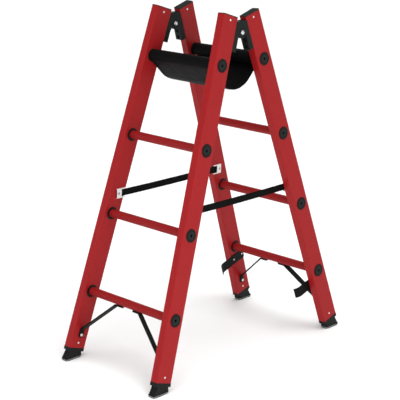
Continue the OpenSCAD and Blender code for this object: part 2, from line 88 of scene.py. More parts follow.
# Rungs, their bushes and their plugs
RUNG_R = 0.0145
RUNG_WALL = 0.0018
FLANGE_R = 0.0225
BUSH_FLANGE = 0.0025
PLUG_HEAD = 0.0026

# Hinge pins, and the rivets in a rail's two ends
PIN_R = 0.005
PIN_HEAD_R = 0.0074
CAP_RIVET_FROM_END = 0.0136
SHOE_RIVET_FROM_END = 0.0186

# Straps, whose clips stand on the rails' inner faces
STRAP_DOWN = 0.6141
STRAP_IN = 0.004  # from the rail's middle line towards the other side
STRAP_W = 0.024
STRAP_T = 0.0015
STRAP_PAST_RIVET = 0.007
SADDLE_FACE = 0.0054  # how far a clip's face stands off the rail

# Closing clips and corner braces
CLIP_DOWN = 1.0147
CLIP_T = 0.003
CLIP_RIVETS_Y = (0.025, -0.021)
BRACE_BOLT_DOWN = 1.124
BRACE_T = 0.005

# Shoes, with half depths below the collar and at the foot, and their soles
COLLAR_H = 0.012
SHOE_HALF_W = 0.0138
SHOE_NECK = 0.0255
SHOE_FLARE = 0.0323
SOLE_BELOW_COLLAR = 0.024
SOLE_HALF_X = 0.015
SOLE_HALF_Y = 0.034
SOLE_H = 0.008
SOLE_CORNER = 0.005

# Tray: one cloth wound round both top rungs and slung between them
TRAY_HALF = 0.143
TRAY_ROLL_R = 0.022
TRAY_DROP = 0.0967  # from the rungs' middle to the lowest place outside
TRAY_FLANK = math.radians(45)
CLOTH_T = 0.0017
ROLL_TURNS = 2.4
ROLL_INNER_R = 0.0163

HALF_T = RAIL_THICK / 2
SIDES = {"front": -1, "rear": 1}
HANDS = {"left": -1, "right": 1}
ALONG_X = Matrix.Rotation(math.pi / 2, 4, "Y")


def rung_down(i):
    """Distance of rung i below the pins, along the rungs' plane."""
    return PIN_TO_FIRST_RUNG + (i - 1) * RUNG_PITCH


def outer_x(down):
    """Sideways place of a rail's outer face at a distance below the pins."""
    return RAIL_X + HALF_T / math.cos(FLARE) + down * math.tan(FLARE)


def side_frame(side):
    """Origin on the pins' axis, Y away from the other side, Z up along the rungs' plane."""
    flip = Matrix.Diagonal((1, SIDES[side], 1, 1))
    return Matrix.Translation((0, 0, PIN_Z)) @ flip @ Matrix.Rotation(LEAN, 4, "X")


def rail_frame(side, hand):
    """Origin in the rail's middle beside the pin, X towards the outside, Z up the rail."""
    flip = Matrix.Diagonal((HANDS[hand], 1, 1, 1))
    move = Matrix.Translation((RAIL_X, PIN_TO_RAIL, 0))
    return side_frame(side) @ flip @ move @ Matrix.Rotation(-FLARE, 4, "Y")


def across(rail, x, y, z):
    """A place in a rail's frame, with its own Z along the rail's thickness, towards the outside."""
    return rail @ Matrix.Translation((x, y, z)) @ ALONG_X


def turned_inward(place):
    """The same place with its Z the other way."""
    return place @ Matrix.Diagonal((1, 1, -1, 1))


# ---------------------------------------------------------------------------
# Shader tools
# ---------------------------------------------------------------------------


class Shader:
    """A material's node tree, with short calls that add and link nodes."""

    def __init__(self, name):
        self.material = bpy.data.materials.new(name)
        self.material.use_nodes = True
        self.tree = self.material.node_tree
        self.surface = self.tree.nodes["Principled BSDF"]

    def add(self, kind, inputs=None, **settings):
        node = self.tree.nodes.new("ShaderNode" + kind)
        for key, value in settings.items():
            setattr(node, key, value)
        for key, value in (inputs or {}).items():
            self.put(node.inputs[key], value)
        return node

    def put(self, socket, value):
        """Links a node's output to a socket, or sets the socket to a plain value."""
        if isinstance(value, bpy.types.NodeSocket):
            self.tree.links.new(value, socket)
        else:
            socket.default_value = value

    def math(self, operation, a, b=0.0):
        return self.add("Math", {0: a, 1: b}, operation=operation).outputs[0]

    def noise(self, vector, scale, detail=3.0, roughness=0.55):
        inputs = {"Vector": vector, "Scale": scale, "Detail": detail, "Roughness": roughness}
        return self.add("TexNoise", inputs).outputs["Fac"]

    def stretch(self, vector, scale, place=None):
        """Texture space: turned from the shared frame into a part's own, then scaled along its axes."""
        if place is not None:
            turned = place.inverted()
            if turned.determinant() < 0:  # a mapping node turns and moves, but doesn't mirror
                turned = Matrix.Diagonal((-1, 1, 1, 1)) @ turned
            inputs = {"Vector": vector, "Location": turned.translation, "Rotation": turned.to_euler("XYZ")}
            vector = self.add("Mapping", inputs).outputs[0]
        return self.add("Mapping", {"Vector": vector, "Scale": scale}).outputs[0]

    def ramp(self, value, low, high):
        """0 below low, 1 above high, and smooth between them."""
        inputs = {"Value": value, "From Min": low, "From Max": high}
        return self.add("MapRange", inputs, interpolation_type="SMOOTHSTEP").outputs[0]

    def span(self, value, low, high):
        """A value of 0 to 1 spread from low to high."""
        return self.add("MapRange", {"Value": value, "To Min": low, "To Max": high}).outputs[0]

    def around(self, value, middle, spread):
        """A value of 0 to 1 spread evenly about a middle."""
        return self.span(value, middle - spread, middle + spread)

    def mix(self, factor, a, b):
        node = self.add("Mix", data_type="RGBA")
        self.put(node.inputs[0], factor)
        self.put(node.inputs[6], a)
        self.put(node.inputs[7], b)
        return node.outputs[2]

    def edges(self, radius, low=0.02, high=0.22):
        """1 along outer edges and corners, from the difference between the true and a rounded normal."""
        rounded = self.add("Bevel", {"Radius": radius}, samples=4).outputs[0]
        true = self.add("NewGeometry").outputs["Normal"]
        dot = self.add("VectorMath", {0: rounded, 1: true}, operation="DOT_PRODUCT").outputs["Value"]
        return self.ramp(self.math("SUBTRACT", 1.0, dot), low, high)

    def bump(self, height, distance, strength=1.0, normal=None):
        node = self.add("Bump", {"Height": height, "Distance": distance, "Strength": strength})
        if normal is not None:
            self.put(node.inputs["Normal"], normal)
        return node.outputs[0]

    def finish(self, colour, rough, normal, specular):
        """Feeds the surface, and gives the finished material."""
        self.put(self.surface.inputs["Base Color"], colour)
        self.put(self.surface.inputs["Roughness"], rough)
        self.put(self.surface.inputs["Normal"], normal)
        self.put(self.surface.inputs["Specular IOR Level"], specular)
        return self.material


def rgb(red, green, blue):
    """A colour given as screen values from 0 to 255."""
    def linear(value):
        share = value / 255
        return share / 12.92 if share <= 0.04045 else ((share + 0.055) / 1.055) ** 2.4
    return (linear(red), linear(green), linear(blue), 1.0)


def shade(colour, factor):
    """A colour made darker or lighter."""
    return tuple(min(1.0, c * factor) for c in colour[:3]) + (1.0,)


def moulded(
    name, colour, wear, rough, grain=900.0, depth=0.00006, wear_share=0.5, metallic=0.0, shine=0.14,
):
    """Moulded, painted or plated surface: cloudy colour, fine grain, and worn edges."""
    s = Shader(name)
    place = s.add("TexCoord").outputs["Object"]
    cloud = s.noise(place, scale=22.0, detail=4.0)
    fine = s.noise(place, scale=grain, detail=2.0, roughness=0.7)
    colour_now = s.mix(cloud, shade(colour, 0.82), shade(colour, 1.2))
    colour_now = s.mix(s.math("MULTIPLY", fine, 0.18), colour_now, shade(colour, 1.6))
    broken = s.ramp(s.noise(place, scale=160.0, detail=5.0, roughness=0.7), low=0.38, high=0.62)
    worn = s.math("MULTIPLY", s.math("MULTIPLY", s.edges(radius=0.0007), broken), wear_share)
    rough_now = s.around(s.noise(place, scale=60.0, detail=5.0), rough, spread=0.09)
    rough_now = s.math("SUBTRACT", rough_now, s.math("MULTIPLY", worn, 0.12))
    s.surface.inputs["Metallic"].default_value = metallic
    specular = 0.5 if metallic else shine
    return s.finish(s.mix(worn, colour_now, wear), rough_now, s.bump(fine, depth), specular)


def glass_fibre(name, colour, place, streak_axis):
    """Pultruded glass fibre: long fine streaks under a satin skin, a little dustier at the edges."""
    s = Shader(name)
    spot = s.add("TexCoord").outputs["Object"]
    long_way = [1.0, 1.0, 1.0]
    long_way[streak_axis] = 0.012
    streaks = s.stretch(spot, long_way, place)
    fibre = s.noise(streaks, scale=950.0, detail=3.0, roughness=0.65)
    band = s.noise(streaks, scale=130.0, detail=2.0)
    cloud = s.noise(spot, scale=7.0, detail=3.0)
    colour_now = s.mix(cloud, shade(colour, 0.93), shade(colour, 1.06))
    colour_now = s.mix(s.math("MULTIPLY", band, 0.35), colour_now, shade(colour, 0.86))
    colour_now = s.mix(s.ramp(fibre, low=0.58, high=0.8), colour_now, shade(colour, 1.12))
    broken = s.ramp(s.noise(spot, scale=90.0, detail=5.0, roughness=0.7), low=0.42, high=0.66)
    worn = s.math("MULTIPLY", s.math("MULTIPLY", s.edges(radius=0.0012), broken), 0.30)
    rough_now = s.span(s.noise(streaks, scale=300.0, detail=4.0), 0.34, 0.5)
    fine = s.bump(fibre, distance=0.00005)
    normal = s.bump(s.noise(streaks, scale=60.0, detail=2.0), distance=0.00018, strength=0.6, normal=fine)
    return s.finish(s.mix(worn, colour_now, DUSTY_RED), rough_now, normal, specular=0.14)


def cloth(name, colour, wear, rough, pitch, depth):
    """Woven cloth: crossed threads from the sheet's own map, in metres, with fuzz and slight fading."""
    s = Shader(name)
    place = s.add("TexCoord")
    spot = place.outputs["Object"]
    sheet = s.add("SeparateXYZ", {0: place.outputs["UV"]})
    turn = 2 * math.pi / pitch
    warp = s.math("SINE", s.math("MULTIPLY", sheet.outputs[0], turn))
    weft = s.math("SINE", s.math("MULTIPLY", sheet.outputs[1], turn))
    weave = s.math("MULTIPLY_ADD", s.math("MULTIPLY", warp, weft), 0.5)
    weave.node.inputs[2].default_value = 0.5  # so it runs from 0 to 1
    fuzz = s.noise(spot, scale=2200.0, detail=2.0, roughness=0.8)
    cloud = s.noise(spot, scale=14.0, detail=4.0)
    colour_now = s.mix(s.math("MULTIPLY", weave, 0.5), shade(colour, 0.75), shade(colour, 1.5))
    colour_now = s.mix(s.math("MULTIPLY", cloud, 0.5), colour_now, shade(colour, 1.7))
    fuzzy = s.math("MULTIPLY", s.ramp(fuzz, low=0.45, high=0.7), 0.35)
    worn = s.math("MULTIPLY", s.edges(radius=0.0012), fuzzy)
    s.surface.inputs["Sheen Weight"].default_value = 0.01
    s.surface.inputs["Sheen Roughness"].default_value = 0.45
    wrinkle = s.bump(s.noise(spot, scale=55.0, detail=4.0), distance=0.0006, strength=0.35)
    normal = s.bump(weave, depth, strength=1.0, normal=wrinkle)
    rough_now = s.around(fuzz, rough, spread=0.08)
    return s.finish(s.mix(worn, colour_now, wear), rough_now, normal, specular=0.07)


# ---------------------------------------------------------------------------
# Materials
# ---------------------------------------------------------------------------

RAIL_RED = rgb(152, 24, 27)
# The rungs' red is the rails' glass fibre red made darker: painted shade for the rungs lying between the rails.
SHADED_RUNG_RED = rgb(141, 24, 26)
DUSTY_RED = rgb(214, 120, 116)
ALONG_RUNG, UP_RAIL = 0, 2

MATERIALS = {
    "grp_rung": glass_fibre("ribbed_glass_fibre", SHADED_RUNG_RED, None, ALONG_RUNG),
    "bush_plastic": moulded(
        "bush_nylon", rgb(13, 14, 13), rgb(70, 72, 70), rough=0.5, wear_share=0.3,
    ),
    "cap_plastic": moulded(
        "cap_plastic", rgb(22, 28, 26), rgb(76, 84, 80), rough=0.5, wear_share=0.3,
    ),
    "shoe_plastic": moulded(
        "shoe_plastic", rgb(18, 19, 19), rgb(84, 86, 84), rough=0.5, grain=700.0,
    ),
    "sole_rubber": moulded(
        "sole_rubber_dark", rgb(26, 27, 27), rgb(84, 86, 84), rough=0.78, grain=500.0,
    ),
    "hinge_black": moulded(
        "hinge_nylon", rgb(20, 26, 23), rgb(90, 98, 93), rough=0.48, depth=0.0001, shine=0.12,
    ),
    "pin_steel": moulded(
        "turned_steel", rgb(205, 205, 205), rgb(240, 240, 240), rough=0.28, metallic=1.0,
    ),
    "rivet_aluminium": moulded(
        "rivet_aluminium", rgb(224, 216, 213), rgb(245, 240, 238), rough=0.38, metallic=0.6,
    ),
    "clip_aluminium": moulded(
        "rolled_aluminium", rgb(218, 216, 213), rgb(250, 248, 246), rough=0.42, metallic=0.35,
    ),
    "black_steel": moulded(
        "powder_coat", rgb(12, 14, 13), rgb(70, 71, 69), rough=0.5, grain=1400.0, depth=0.00012, shine=0.09,
    ),
    "zinc_steel": moulded(
        "zinc_plate", rgb(208, 206, 200), rgb(238, 236, 230), rough=0.34, metallic=0.7,
    ),
    "webbing": cloth(
        "woven_webbing", rgb(6, 8, 7), rgb(26, 29, 27), rough=0.78, pitch=0.0016, depth=0.00025,
    ),
    "tray_fabric": cloth(
        "coated_cloth", rgb(4, 4, 5), rgb(22, 22, 23), rough=0.62, pitch=0.0011, depth=0.00012,
    ),
}
SOLE_LIGHT = moulded(
    "sole_rubber_light", rgb(150, 154, 152), rgb(186, 189, 186), rough=0.75, grain=500.0,
)
THREAD = moulded(
    "sewing_thread", rgb(30, 30, 32), rgb(52, 52, 55), rough=0.75, grain=3000.0, depth=0.0001,
)
STRAP_RIVET_STEEL = moulded(
    "rivet_steel", rgb(150, 150, 148), rgb(205, 205, 203), rough=0.36, metallic=0.8,
)

# ---------------------------------------------------------------------------
# Mesh tools
# ---------------------------------------------------------------------------

# What counts as one point, as one flat face and as a hard edge in the frame's meshes
CAD_MERGE = 0.000002
CAD_FLAT = math.radians(0.6)
HARD_EDGE = math.radians(32)


def polar(radius, angle, z):
    """A point from its distance and angle round Z."""
    return (radius * math.cos(angle), radius * math.sin(angle), z)


def skin(bm, loops, matrix=Matrix(), closed=False):
    """Joins a row of loops of equal count, and caps both ends or closes the row on itself."""
    rows = [[bm.verts.new(matrix @ Vector(p)) for p in loop] for loop in loops]
    pairs = list(zip(rows, rows[1:]))
    if closed:
        pairs.append((rows[-1], rows[0]))
    count = len(rows[0])
    made = []
    for low, high in pairs:
        for i in range(count):
            j = (i + 1) % count
            made.append(bm.faces.new((low[i], low[j], high[j], high[i])))
    if not closed:
        made += [bm.faces.new(rows[0]), bm.faces.new(rows[-1])]
    return made


def ring(radius, z, count, sides=0):
    """A circle of points, or the same number of points along a polygon with that many sides."""
    points = []
    for i in range(count):
        a = 2 * math.pi * i / count
        r = radius
        if sides:
            half = math.pi / sides
            r = radius * math.cos(half) / math.cos((a % (2 * half)) - half)
        points.append(polar(r, a, z))
    return points


def lathe(bm, profile, matrix, count, closed=False):
    """Turns a profile of (radius, height) points round the matrix's Z, count points to the circle."""
    return skin(bm, [ring(r, z, count) for r, z in profile], matrix, closed)


def rounded_rectangle(half_x, half_y, radius, z, steps=5):
    """Outline in a level plane, with an arc at each corner."""
    points = []
    for cx, cy, start in ((1, 1, 0), (-1, 1, 90), (-1, -1, 180), (1, -1, 270)):
        for i in range(steps + 1):
            a = math.radians(start + 90 * i / steps)
            x = cx * (half_x - radius) + radius * math.cos(a)
            y = cy * (half_y - radius) + radius * math.sin(a)
            points.append((x, y, z))
    return points


def piece(name, bm, nodes, material=None, angle=38, ride=True):
    """Makes a bmesh into a shown piece that stands for these CAD nodes and rides on their body.

    Edges that turn by more than the angle, in degrees, stay sharp.
    """
    bmesh.ops.recalc_face_normals(bm, faces=bm.faces)
    mesh = bpy.data.meshes.new(name)
    bm.to_mesh(mesh)
    bm.free()
    slot = SLOT_OF[nodes[0]]
    mesh.materials.append(material or MATERIALS[slot])
    mesh.shade_smooth()
    mesh.set_sharp_from_angle(angle=math.radians(angle))
    made = bpy.data.objects.new(name, mesh)
    bpy.context.scene.collection.objects.link(made)
    made.modifiers.new("flat_faces", "WEIGHTED_NORMAL").keep_sharp = True
    if ride:
        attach(made, BODY_OF[nodes[0]])
    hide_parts(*nodes)
    return made


def settle_order(bm):
    """Sorts the faces by their three lowest vertices, so that each run gives the same mesh."""
    bm.verts.index_update()
    count = len(bm.verts)

    def place(face):
        first, second, third = sorted(v.index for v in face.verts)[:3]
        return (first * count + second) * count + third

    bm.faces.sort(key=place)


def refined(node, width, extra=None):
    """A copy of a CAD node with its hard edges rounded, which then stands for it."""
    bm = bmesh.new()
    bm.from_mesh(NODES[node].data)
    bmesh.ops.remove_doubles(bm, verts=bm.verts, dist=CAD_MERGE)
    bmesh.ops.dissolve_limit(bm, angle_limit=CAD_FLAT, verts=bm.verts, edges=bm.edges)
    hard = [e for e in bm.edges if e.is_manifold and e.calc_face_angle() > HARD_EDGE]
    bmesh.ops.bevel(
        bm, geom=hard, offset=width, segments=2, profile=0.5, affect="EDGES", clamp_overlap=True,
        miter_outer="SHARP",
    )
    if extra:
        extra(bm)
    settle_order(bm)
    return piece(node + "_rounded", bm, [node])


def bending(name, bm, nodes, material):
    """A soft piece between the two sides of the ladder: it rides on neither side's body, and its placing is baked
    into its mesh.
    """
    made = piece(name, bm, nodes, material, angle=75, ride=False)
    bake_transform(made)
    return made


# ---------------------------------------------------------------------------
# Rails and rungs
# ---------------------------------------------------------------------------


def finish_rails():
    """The rails keep the frame's shape: each gets glass fibre whose streaks run along it."""
    for side in SIDES:
        for hand in HANDS:
            look = glass_fibre(f"glass_fibre_{side}_{hand}", RAIL_RED, rail_frame(side, hand), UP_RAIL)
            for slot in NODES[f"{side}_rail_{hand}"].material_slots:
                slot.material = look


def rung_section(grooves=16, depth=0.0008, width=0.00095):
    """Outline of a rung's skin, as (radius, angle): lands between rounded grooves that run along it."""
    pitch = 2 * math.pi * RUNG_R / grooves
    steps = (-0.5, -0.34, -0.21, -0.13, -0.06, 0.0, 0.06, 0.13, 0.21, 0.34)  # shares of the pitch
    points = []
    for i in range(grooves):
        for step in steps:
            radius = RUNG_R - depth * math.exp(-((step * pitch / width) ** 2))
            points.append((radius, 2 * math.pi * (i + step) / grooves))
    return points


def make_rungs():
    """Ribbed tubes that end just inside the rails' outer faces."""
    inset, chamfer = 0.0012, 0.0006
    bore = RUNG_R - RUNG_WALL
    section = rung_section()
    for side in SIDES:
        for i in range(1, RUNG_COUNT + 1):
            half = outer_x(rung_down(i)) - inset
            stations = (
                (-half, chamfer), (chamfer - half, 0.0), (0.0, 0.0), (half - chamfer, 0.0), (half, chamfer),
            )
            loops = [[polar(r - cut, a, z) for r, a in section] for z, cut in stations]
            loops += [[polar(bore, a, z) for _, a in section] for z in (half, -half)]
            place = side_frame(side) @ Matrix.Translation((0, PIN_TO_RAIL, -rung_down(i))) @ ALONG_X
            bm = bmesh.new()
            skin(bm, loops, place, closed=True)
            piece(f"{side}_rung_{i}_ribbed", bm, [f"{side}_rung_{i}"], angle=60)


BUSH_BORE = RUNG_R + 0.00015
FLANGE_PROFILE = [
    (BUSH_BORE + 0.0008, 0.0), (FLANGE_R, 0.0), (FLANGE_R, BUSH_FLANGE * 0.45),
    (FLANGE_R - 0.0005, BUSH_FLANGE * 0.78), (FLANGE_R - 0.0015, BUSH_FLANGE),
    (BUSH_BORE + 0.0012, BUSH_FLANGE), (BUSH_BORE, BUSH_FLANGE * 0.6),
]
SLEEVE_PROFILE = [
    (BUSH_BORE, 0.0002), (BUSH_BORE + 0.0018, 0.0002), (BUSH_BORE + 0.0018, -0.0062), (BUSH_BORE, -0.0062),
]
PLUG_RIM = [
    (FLANGE_R - 0.0002, 0.0), (FLANGE_R, PLUG_HEAD * 0.3), (FLANGE_R - 0.0004, PLUG_HEAD * 0.66),
    (FLANGE_R - 0.0014, PLUG_HEAD * 0.92), (FLANGE_R - 0.0030, PLUG_HEAD), (0.0168, PLUG_HEAD * 0.96),
    (0.0160, PLUG_HEAD * 0.62),
]
PLUG_DISH = [
    (0.0150, PLUG_HEAD * 0.58), (0.0144, PLUG_HEAD * 0.80), (0.0134, PLUG_HEAD * 0.84),
    (0.0068, PLUG_HEAD * 0.80), (0.0056, PLUG_HEAD * 0.62), (0.0046, PLUG_HEAD * 0.30),
]
PLUG_HOLE = [(0.0044, 0.0), (0.0044, -0.006)]
STEM_R = RUNG_R - RUNG_WALL - 0.0011
PLUG_STEM = [(STEM_R, -0.014), (STEM_R, -0.0004)]
BUSH_POINTS, PLUG_POINTS = 48, 56


def make_bushes_and_plugs():
    """Bushes with rounded flanges on the rails' inner faces, and dished plugs on the outer ones.

    A plug has a hole in its middle, and its rim takes the bushes' darker plastic: painted shade round the rim.
    """
    plug = PLUG_RIM + PLUG_DISH + PLUG_HOLE + PLUG_STEM
    for side in SIDES:
        bushes, plugs = bmesh.new(), bmesh.new()
        for hand in HANDS:
            rail = rail_frame(side, hand)
            for i in range(1, RUNG_COUNT + 1):
                down = -rung_down(i) / math.cos(FLARE)
                inner = turned_inward(across(rail, -HALF_T, 0, down))
                lathe(bushes, FLANGE_PROFILE, inner, BUSH_POINTS, closed=True)
                lathe(bushes, SLEEVE_PROFILE, inner, BUSH_POINTS, closed=True)
                made = lathe(plugs, plug, across(rail, HALF_T, 0, down), PLUG_POINTS, closed=True)
                # The rim's faces take the second, darker material: painted shade round each plug's rim.
                for face in made[:len(PLUG_RIM) * PLUG_POINTS]:
                    face.material_index = 1
        piece(f"{side}_rung_bushes_rounded", bushes, [f"{side}_rung_bushes"])
        dished = piece(f"{side}_rung_plugs_dished", plugs, [f"{side}_rung_plugs"], angle=42)
        # The bushes' dark plastic, used on the plug rims as painted shade.
        dished.data.materials.append(MATERIALS["bush_plastic"])


# ---------------------------------------------------------------------------
# Fasteners
# ---------------------------------------------------------------------------

RAIL_RIVET = {"shank": 0.002, "radius": 0.0035, "height": 0.0011}
STRAP_RIVET = {"shank": 0.0024, "radius": 0.0044, "height": 0.0012}
RIVET_POINTS, PIN_POINTS, BOLT_POINTS = 24, 40, 24


def rivet(bm, place, grip, shank, radius, height):
    """A pull rivet right through, with its dimpled heads at 0 and at -grip along the place's Z."""
    top = [
        (radius, 0.0), (radius * 0.99, height * 0.3), (radius * 0.85, height * 0.72),
        (radius * 0.6, height * 0.95), (radius * 0.36, height), (radius * 0.29, height * 0.8),
        (radius * 0.27, height * 0.45),
    ]
    bottom = [(r, -grip - z) for r, z in reversed(top)]
    lathe(bm, bottom + [(shank, -grip), (shank, 0.0)] + top, place, RIVET_POINTS)


def make_rivets():
    """Rivets through caps and shoes, through the strap clips and through the closing clips."""
    for side in SIDES:
        ends, straps = bmesh.new(), bmesh.new()
        for hand in HANDS:
            rail = rail_frame(side, hand)
            for z in (RAIL_ABOVE_PIN - CAP_RIVET_FROM_END, SHOE_RIVET_FROM_END - RAIL_BELOW_PIN):
                rivet(ends, across(rail, HALF_T, 0, z), RAIL_THICK, **RAIL_RIVET)
            seat = turned_inward(across(rail, -HALF_T - SADDLE_FACE, -STRAP_IN, -STRAP_DOWN))
            rivet(straps, seat, SADDLE_FACE + RAIL_WALL, **STRAP_RIVET)
        piece(f"{side}_end_rivets_domed", ends, [f"{side}_end_rivets"])
        piece(f"{side}_strap_rivets_domed", straps, [f"{side}_strap_rivets"], STRAP_RIVET_STEEL)
    clips = bmesh.new()
    for hand in HANDS:
        for y in CLIP_RIVETS_Y:
            seat = turned_inward(across(rail_frame("rear", hand), -HALF_T - CLIP_T, y, -CLIP_DOWN))
            rivet(clips, seat, CLIP_T + RAIL_WALL, **RAIL_RIVET)
    piece("closing_clip_rivets_domed", clips, ["closing_clip_rivets"])


def make_pins():
    """Turned hinge pins with domed heads outside, and domed retainers on their inner ends."""
    head = [
        (PIN_HEAD_R - 0.0004, 0.0001), (PIN_HEAD_R, 0.0006), (PIN_HEAD_R, 0.0021),
        (PIN_HEAD_R - 0.0007, 0.0031), (0.0054, 0.0039), (0.0030, 0.00428), (0.0012, 0.0044),
    ]
    shank = [(PIN_R - 0.0008, -RAIL_THICK - 0.0034), (PIN_R, -RAIL_THICK - 0.0028), (PIN_R, 0.0001)]
    socket_r = PIN_R + 0.00005
    cup = [(socket_r, 0.0035), (socket_r, 0.0001)]
    retainers = bmesh.new()
    for hand, sign in HANDS.items():
        outward = Matrix.Rotation(sign * math.pi / 2, 4, "Y")
        place = Matrix.Translation((sign * RAIL_X, 0, PIN_Z)) @ outward
        bm = bmesh.new()
        lathe(bm, shank + head, place @ Matrix.Translation((0, 0, HALF_T)), PIN_POINTS)
        piece(f"hinge_pin_{hand}_turned", bm, [f"hinge_pin_{hand}"])
        inner = turned_inward(place @ Matrix.Translation((0, 0, -HALF_T)))
        lathe(retainers, cup + head, inner, PIN_POINTS)
    piece("hinge_pin_retainers_domed", retainers, ["hinge_pin_retainers"])


def make_brace_bolts():
    """Button-head bolts with a hexagon socket, through the braces' tabs and the rails' inner walls."""
    seat = BRACE_T + 0.0002
    tip = -seat - RAIL_WALL - 0.0061
    body = [
        (0.0026, tip), (0.003, tip + 0.0005), (0.003, 0.0), (0.0056, 0.0), (0.0056, 0.0010),
        (0.0052, 0.0020), (0.0044, 0.0028), (0.0032, 0.0033),
    ]
    socket = [(0.0023, 0.0032), (0.0021, 0.0029), (0.0021, 0.0014)]
    loops = [ring(r, z, BOLT_POINTS) for r, z in body]
    loops += [ring(r, z, BOLT_POINTS, sides=6) for r, z in socket]
    for side in SIDES:
        bm = bmesh.new()
        for hand in HANDS:
            place = across(rail_frame(side, hand), -HALF_T - seat, 0, -BRACE_BOLT_DOWN)
            skin(bm, loops, turned_inward(place))
        piece(f"{side}_brace_bolts_button", bm, [f"{side}_brace_bolts"])


# ---------------------------------------------------------------------------
# Plates, leaves, caps and shoes, rounded from the frame's own shapes
# ---------------------------------------------------------------------------

ROUNDING = {
    "hinge_leaf_left": 0.0009, "hinge_leaf_right": 0.0009, "end_caps": 0.0007, "hinge_bolts": 0.0003,
    "brace_left": 0.0006, "brace_right": 0.0006, "brace_screws": 0.0004, "strap_clips": 0.0004,
    "shoe_left": 0.0008, "shoe_right": 0.0008,
}
CLIP_ROUNDING = 0.0006

# Fins on a shoe's narrow faces and ribs on its broad ones, whose half widths are at the root and the top
FIN_X, FIN_W, FIN_PROUD, FIN_SUNK = 0.0079, 0.0086, 0.0010, 0.0015
RIB_ROOT, RIB_TOP = 0.0022, 0.0017
RIB_PROUD, RIB_SUNK, RIB_SLOPE = 0.0006, 0.001, 0.0005
END_RUN = 0.0006


def fin(bm, rail, low, high, x):
    """A rounded fin on a shoe's narrow face, which runs from low to high as (y, z) in the rail's frame."""
    run = Vector((0, high[0] - low[0], high[1] - low[1]))
    along = run.normalized()
    out = along.cross(Vector((1, 0, 0)))
    out *= math.copysign(1.0, out.y * low[0])
    half = FIN_W / 2
    loops = []
    for t, share in ((0.0, 0.1), (END_RUN, 1.0), (run.length - END_RUN, 1.0), (run.length, 0.1)):
        base = Vector((x, low[0], low[1])) + along * t
        top = FIN_PROUD * share
        outline = (
            (-half, -FIN_SUNK), (half, -FIN_SUNK), (half, top * 0.5), (half * 0.7, top),
            (-half * 0.7, top), (-half, top * 0.5),
        )
        loops.append([base + Vector((px, 0, 0)) + out * py for px, py in outline])
    skin(bm, loops, rail)


def upright_rib(bm, rail, face, y, low, high):
    """A low rib on a shoe's broad face, from low to high up the rail, with sloping sides and ends."""
    foot = face * (SHOE_HALF_W - RIB_SUNK)
    loops = []
    for z, cut in ((low, RIB_SLOPE), (low + END_RUN, 0.0), (high - END_RUN, 0.0), (high, RIB_SLOPE)):
        top = face * (SHOE_HALF_W + RIB_PROUD - cut)
        loops.append([
            (foot, y - RIB_ROOT, z), (top, y - RIB_TOP, z), (top, y + RIB_TOP, z), (foot, y + RIB_ROOT, z),
        ])
    skin(bm, loops, rail)


def shoe_ribs(bm, side, hand):
    """Fins with a slot between them down both narrow faces, and three upright ribs on each broad face."""
    rail = rail_frame(side, hand)
    below = -RAIL_BELOW_PIN - COLLAR_H
    spread = SHOE_FLARE - SHOE_NECK  # a fin's ends, as (y, z), stand at shares of it outside the neck
    toe = ((-SHOE_NECK - spread * 0.536, below - 0.0115), (-SHOE_NECK - spread * 0.086, below - 0.0052))
    heel = ((SHOE_NECK + spread * 0.75, below - 0.0275), (SHOE_NECK + spread * 0.046, below - 0.0092))
    for x in (-FIN_X, FIN_X):
        for low, high in (toe, heel):
            fin(bm, rail, low, high, x)
    for face in (-1, 1):
        for y, reach in ((-0.019, 0.0148), (0.0, 0.0209), (0.018, 0.0268)):
            upright_rib(bm, rail, face, y, below - reach, below - 0.0026)


def make_rounded():
    """Rounds the frame's own plates, leaves, caps and shoes, and adds the ribs to the shoes."""
    for side in SIDES:
        for part, width in ROUNDING.items():
            extra = None
            if part.startswith("shoe_"):
                extra = partial(shoe_ribs, side=side, hand=part.removeprefix("shoe_"))
            refined(f"{side}_{part}", width, extra)
    for hand in HANDS:
        refined(f"closing_clip_{hand}", CLIP_ROUNDING)


def finish_kept_nodes():
    """Every CAD node that still shows takes its slot's material; the rails already have their own."""
    for name, node in NODES.items():
        if not node.hide_render and SLOT_OF[name] in MATERIALS:
            for slot in node.material_slots:
                slot.material = MATERIALS[SLOT_OF[name]]


# ---------------------------------------------------------------------------
# Soles
# ---------------------------------------------------------------------------

SOLE_X = RAIL_X + (RAIL_BELOW_PIN + COLLAR_H + SOLE_BELOW_COLLAR) * math.tan(FLARE)
SOLE_Y = PIN_TO_RAIL * math.cos(LEAN) + (PIN_Z + PIN_TO_RAIL * math.sin(LEAN)) * math.tan(LEAN)
TREAD_H = 0.0032
TREAD_BARS = 9
BAR_HALF_Y = 0.0031
BAR_CORNER = 0.0009
BAR_SHORTER, END_BAR_SHORTER = 0.0004, 0.0034
TREAD_MARGIN = 0.001
PEG_Y = 0.017
PEG_POINTS = 20


def tread_bar(bm, place, i):
    """One of the dark bars that the sole stands on, shorter at both rounded ends of the sole."""
    y = (i - (TREAD_BARS - 1) / 2) * 2 * (SOLE_HALF_Y - TREAD_MARGIN) / TREAD_BARS
    half_x = SOLE_HALF_X - (END_BAR_SHORTER if i in (0, TREAD_BARS - 1) else BAR_SHORTER)
    profile = ((0.0, 0.0003), (0.0004, 0.0), (TREAD_H, 0.0))
    loops = [rounded_rectangle(half_x - cut, BAR_HALF_Y - cut, BAR_CORNER, z, 3) for z, cut in profile]
    skin(bm, loops, place @ Matrix.Translation((0, y, 0)))


